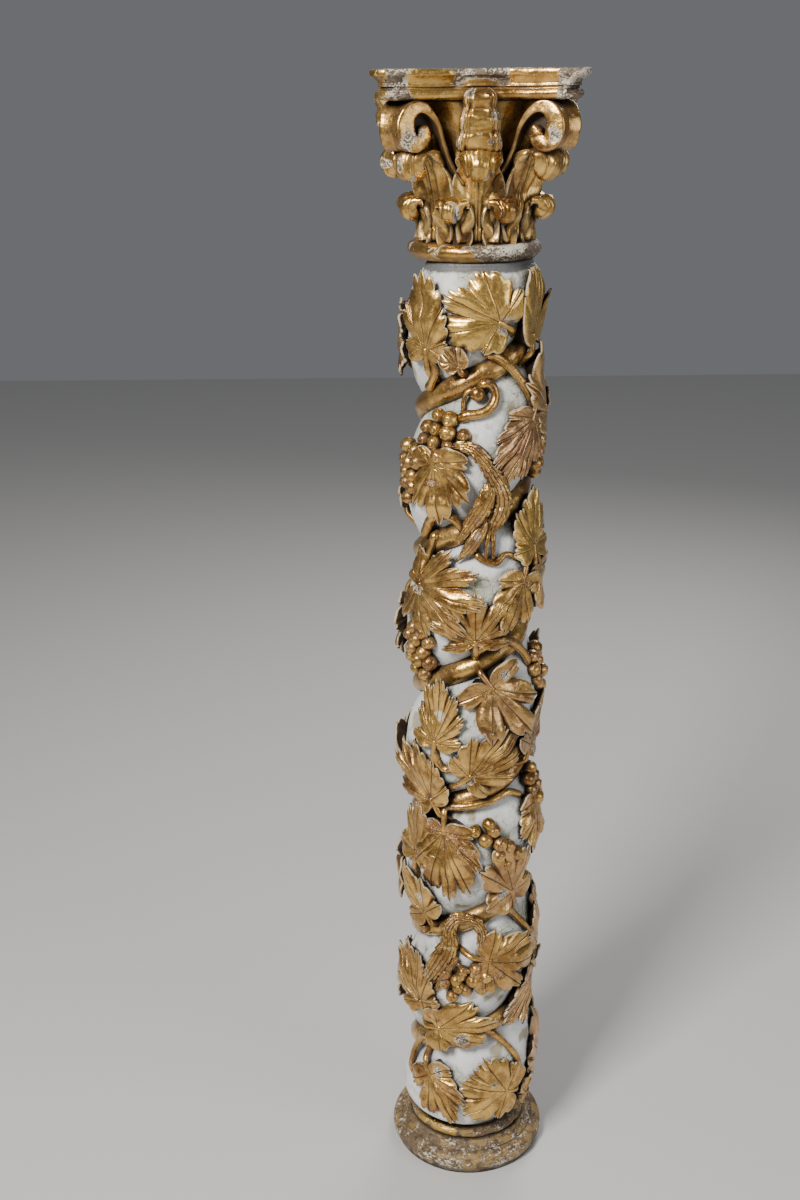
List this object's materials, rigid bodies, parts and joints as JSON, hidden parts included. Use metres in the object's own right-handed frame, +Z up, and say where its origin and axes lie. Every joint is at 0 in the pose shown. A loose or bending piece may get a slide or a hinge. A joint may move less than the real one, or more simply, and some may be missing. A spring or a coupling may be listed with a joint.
{
  "type": "barley twist column",
  "caption": "Free-standing twisted wooden column with carved vine leaves, grapes and birds, on a turned base under a Corinthian capital",
  "frame": {"origin": "the middle of the base's underside, on the surface that the column stands on", "axes": "+Z runs up the column's axis, and the front that the picture shows faces -Y"},
  "size_m": [0.253, 0.253, 1.55],
  "materials": {
    "worn_gesso": "turned wood, its gesso and gold worn through to brown wood",
    "painted_and_gilded_wood": "off-white painted ground under water-gilded carving on red bole, worn and dusty",
    "gilding": "water gilding on carved wood, dark in the hollows and worn to gesso and wood on the edges"
  },
  "bodies": {
    "root": {"base": "worn_gesso", "shaft": "painted_and_gilded_wood", "capital": "gilding"}
  },
  "joints": []
}
